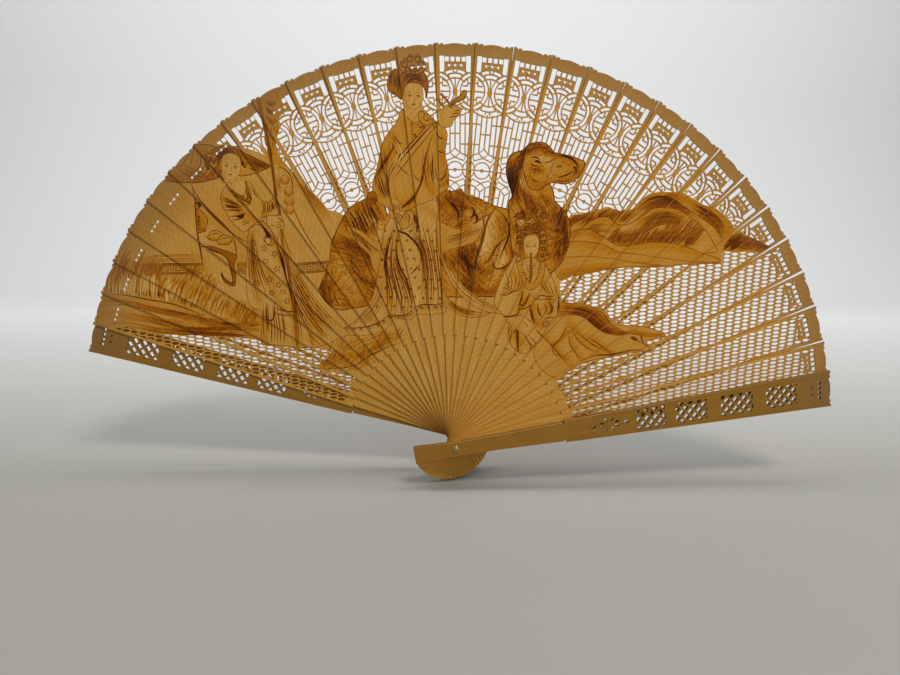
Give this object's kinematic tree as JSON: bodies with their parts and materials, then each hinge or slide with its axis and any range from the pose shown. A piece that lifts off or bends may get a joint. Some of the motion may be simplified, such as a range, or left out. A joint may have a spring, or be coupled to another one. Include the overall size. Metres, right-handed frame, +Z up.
{
  "type": "folding fan",
  "caption": "Carved all-stick folding fan of sandalwood, with pierced fretwork leaves, burnt-in drawing and pierced guards, turning on one rivet.",
  "frame": {"origin": "on the rivet's axis, halfway through the stack of sticks", "axes": "+Z up, +X to the viewer's right, the fan's front faces -Y; the rivet's axis is the Y axis"},
  "size_m": [0.4182, 0.0342, 0.2361],
  "materials": {
    "stick_wood": "fine planed sandalwood, unvarnished, pierced and burnt with a drawing",
    "guard_wood": "darker polished sandalwood, pierced",
    "rivet_brass": "turned and peened",
    "thread_pin_steel": "dark, cut flush"
  },
  "bodies": {
    "rear_guard": {"rear_guard": "guard_wood", "rear_thread_pin_1": "thread_pin_steel", "rear_thread_pin_2": "thread_pin_steel", "pivot_rivet": "rivet_brass", "front_washer": "rivet_brass", "rear_washer": "rivet_brass"},
    "front_guard": {"front_guard": "guard_wood", "front_thread_pin_1": "thread_pin_steel", "front_thread_pin_2": "thread_pin_steel"},
    "stick_01": {"stick_01": "stick_wood"},
    "stick_02": {"stick_02": "stick_wood"},
    "stick_03": {"stick_03": "stick_wood"},
    "stick_04": {"stick_04": "stick_wood"},
    "stick_05": {"stick_05": "stick_wood"},
    "stick_06": {"stick_06": "stick_wood"},
    "stick_07": {"stick_07": "stick_wood"},
    "stick_08": {"stick_08": "stick_wood"},
    "stick_09": {"stick_09": "stick_wood"},
    "stick_10": {"stick_10": "stick_wood"},
    "stick_11": {"stick_11": "stick_wood"},
    "stick_12": {"stick_12": "stick_wood"},
    "stick_13": {"stick_13": "stick_wood"},
    "stick_14": {"stick_14": "stick_wood"},
    "stick_15": {"stick_15": "stick_wood"},
    "stick_16": {"stick_16": "stick_wood"},
    "stick_17": {"stick_17": "stick_wood"},
    "stick_18": {"stick_18": "stick_wood"},
    "stick_19": {"stick_19": "stick_wood"},
    "stick_20": {"stick_20": "stick_wood"},
    "stick_21": {"stick_21": "stick_wood"},
    "stick_22": {"stick_22": "stick_wood"},
    "stick_23": {"stick_23": "stick_wood"},
    "stick_24": {"stick_24": "stick_wood"},
    "stick_25": {"stick_25": "stick_wood"},
    "stick_26": {"stick_26": "stick_wood"},
    "stick_27": {"stick_27": "stick_wood"},
    "stick_28": {"stick_28": "stick_wood"}
  },
  "joints": [
    {"name": "front_guard_swing", "type": "hinge", "parent": "rear_guard", "child": "front_guard", "pos_m": [0, 0, 0], "axis": [0, -1, 0], "range_deg": [0, 154.79]},
    {"name": "stick_01_swing", "type": "hinge", "parent": "rear_guard", "child": "stick_01", "pos_m": [0, 0, 0], "axis": [0, -1, 0], "range_deg": [0, 150.22]},
    {"name": "stick_02_swing", "type": "hinge", "parent": "rear_guard", "child": "stick_02", "pos_m": [0, 0, 0], "axis": [0, -1, 0], "range_deg": [0, 144.64]},
    {"name": "stick_03_swing", "type": "hinge", "parent": "rear_guard", "child": "stick_03", "pos_m": [0, 0, 0], "axis": [0, -1, 0], "range_deg": [0, 139.07]},
    {"name": "stick_04_swing", "type": "hinge", "parent": "rear_guard", "child": "stick_04", "pos_m": [0, 0, 0], "axis": [0, -1, 0], "range_deg": [0, 133.52]},
    {"name": "stick_05_swing", "type": "hinge", "parent": "rear_guard", "child": "stick_05", "pos_m": [0, 0, 0], "axis": [0, -1, 0], "range_deg": [0, 127.98]},
    {"name": "stick_06_swing", "type": "hinge", "parent": "rear_guard", "child": "stick_06", "pos_m": [0, 0, 0], "axis": [0, -1, 0], "range_deg": [0, 122.45]},
    {"name": "stick_07_swing", "type": "hinge", "parent": "rear_guard", "child": "stick_07", "pos_m": [0, 0, 0], "axis": [0, -1, 0], "range_deg": [0, 116.94]},
    {"name": "stick_08_swing", "type": "hinge", "parent": "rear_guard", "child": "stick_08", "pos_m": [0, 0, 0], "axis": [0, -1, 0], "range_deg": [0, 111.44]},
    {"name": "stick_09_swing", "type": "hinge", "parent": "rear_guard", "child": "stick_09", "pos_m": [0, 0, 0], "axis": [0, -1, 0], "range_deg": [0, 105.95]},
    {"name": "stick_10_swing", "type": "hinge", "parent": "rear_guard", "child": "stick_10", "pos_m": [0, 0, 0], "axis": [0, -1, 0], "range_deg": [0, 100.48]},
    {"name": "stick_11_swing", "type": "hinge", "parent": "rear_guard", "child": "stick_11", "pos_m": [0, 0, 0], "axis": [0, -1, 0], "range_deg": [0, 95.02]},
    {"name": "stick_12_swing", "type": "hinge", "parent": "rear_guard", "child": "stick_12", "pos_m": [0, 0, 0], "axis": [0, -1, 0], "range_deg": [0, 89.57]},
    {"name": "stick_13_swing", "type": "hinge", "parent": "rear_guard", "child": "stick_13", "pos_m": [0, 0, 0], "axis": [0, -1, 0], "range_deg": [0, 84.14]},
    {"name": "stick_14_swing", "type": "hinge", "parent": "rear_guard", "child": "stick_14", "pos_m": [0, 0, 0], "axis": [0, -1, 0], "range_deg": [0, 78.72]},
    {"name": "stick_15_swing", "type": "hinge", "parent": "rear_guard", "child": "stick_15", "pos_m": [0, 0, 0], "axis": [0, -1, 0], "range_deg": [0, 73.31]},
    {"name": "stick_16_swing", "type": "hinge", "parent": "rear_guard", "child": "stick_16", "pos_m": [0, 0, 0], "axis": [0, -1, 0], "range_deg": [0, 67.92]},
    {"name": "stick_17_swing", "type": "hinge", "parent": "rear_guard", "child": "stick_17", "pos_m": [0, 0, 0], "axis": [0, -1, 0], "range_deg": [0, 62.54]},
    {"name": "stick_18_swing", "type": "hinge", "parent": "rear_guard", "child": "stick_18", "pos_m": [0, 0, 0], "axis": [0, -1, 0], "range_deg": [0, 57.17]},
    {"name": "stick_19_swing", "type": "hinge", "parent": "rear_guard", "child": "stick_19", "pos_m": [0, 0, 0], "axis": [0, -1, 0], "range_deg": [0, 51.82]},
    {"name": "stick_20_swing", "type": "hinge", "parent": "rear_guard", "child": "stick_20", "pos_m": [0, 0, 0], "axis": [0, -1, 0], "range_deg": [0, 46.48]},
    {"name": "stick_21_swing", "type": "hinge", "parent": "rear_guard", "child": "stick_21", "pos_m": [0, 0, 0], "axis": [0, -1, 0], "range_deg": [0, 41.15]},
    {"name": "stick_22_swing", "type": "hinge", "parent": "rear_guard", "child": "stick_22", "pos_m": [0, 0, 0], "axis": [0, -1, 0], "range_deg": [0, 35.84]},
    {"name": "stick_23_swing", "type": "hinge", "parent": "rear_guard", "child": "stick_23", "pos_m": [0, 0, 0], "axis": [0, -1, 0], "range_deg": [0, 30.54]},
    {"name": "stick_24_swing", "type": "hinge", "parent": "rear_guard", "child": "stick_24", "pos_m": [0, 0, 0], "axis": [0, -1, 0], "range_deg": [0, 25.25]},
    {"name": "stick_25_swing", "type": "hinge", "parent": "rear_guard", "child": "stick_25", "pos_m": [0, 0, 0], "axis": [0, -1, 0], "range_deg": [0, 19.98]},
    {"name": "stick_26_swing", "type": "hinge", "parent": "rear_guard", "child": "stick_26", "pos_m": [0, 0, 0], "axis": [0, -1, 0], "range_deg": [0, 14.72]},
    {"name": "stick_27_swing", "type": "hinge", "parent": "rear_guard", "child": "stick_27", "pos_m": [0, 0, 0], "axis": [0, -1, 0], "range_deg": [0, 9.47]},
    {"name": "stick_28_swing", "type": "hinge", "parent": "rear_guard", "child": "stick_28", "pos_m": [0, 0, 0], "axis": [0, -1, 0], "range_deg": [0, 4.24]}
  ],
  "couplings": [
    {"joint": "stick_01_swing", "follows": "front_guard_swing", "ratio": 0.97033},
    {"joint": "stick_02_swing", "follows": "front_guard_swing", "ratio": 0.93428},
    {"joint": "stick_03_swing", "follows": "front_guard_swing", "ratio": 0.89831},
    {"joint": "stick_04_swing", "follows": "front_guard_swing", "ratio": 0.86244},
    {"joint": "stick_05_swing", "follows": "front_guard_swing", "ratio": 0.82665},
    {"joint": "stick_06_swing", "follows": "front_guard_swing", "ratio": 0.79094},
    {"joint": "stick_07_swing", "follows": "front_guard_swing", "ratio": 0.75533},
    {"joint": "stick_08_swing", "follows": "front_guard_swing", "ratio": 0.71979},
    {"joint": "stick_09_swing", "follows": "front_guard_swing", "ratio": 0.68435},
    {"joint": "stick_10_swing", "follows": "front_guard_swing", "ratio": 0.64899},
    {"joint": "stick_11_swing", "follows": "front_guard_swing", "ratio": 0.61372},
    {"joint": "stick_12_swing", "follows": "front_guard_swing", "ratio": 0.57853},
    {"joint": "stick_13_swing", "follows": "front_guard_swing", "ratio": 0.54343},
    {"joint": "stick_14_swing", "follows": "front_guard_swing", "ratio": 0.50841},
    {"joint": "stick_15_swing", "follows": "front_guard_swing", "ratio": 0.47349},
    {"joint": "stick_16_swing", "follows": "front_guard_swing", "ratio": 0.43865},
    {"joint": "stick_17_swing", "follows": "front_guard_swing", "ratio": 0.40389},
    {"joint": "stick_18_swing", "follows": "front_guard_swing", "ratio": 0.36922},
    {"joint": "stick_19_swing", "follows": "front_guard_swing", "ratio": 0.33464},
    {"joint": "stick_20_swing", "follows": "front_guard_swing", "ratio": 0.30014},
    {"joint": "stick_21_swing", "follows": "front_guard_swing", "ratio": 0.26573},
    {"joint": "stick_22_swing", "follows": "front_guard_swing", "ratio": 0.2314},
    {"joint": "stick_23_swing", "follows": "front_guard_swing", "ratio": 0.19716},
    {"joint": "stick_24_swing", "follows": "front_guard_swing", "ratio": 0.16301},
    {"joint": "stick_25_swing", "follows": "front_guard_swing", "ratio": 0.12894},
    {"joint": "stick_26_swing", "follows": "front_guard_swing", "ratio": 0.094963},
    {"joint": "stick_27_swing", "follows": "front_guard_swing", "ratio": 0.061069},
    {"joint": "stick_28_swing", "follows": "front_guard_swing", "ratio": 0.027261}
  ]
}
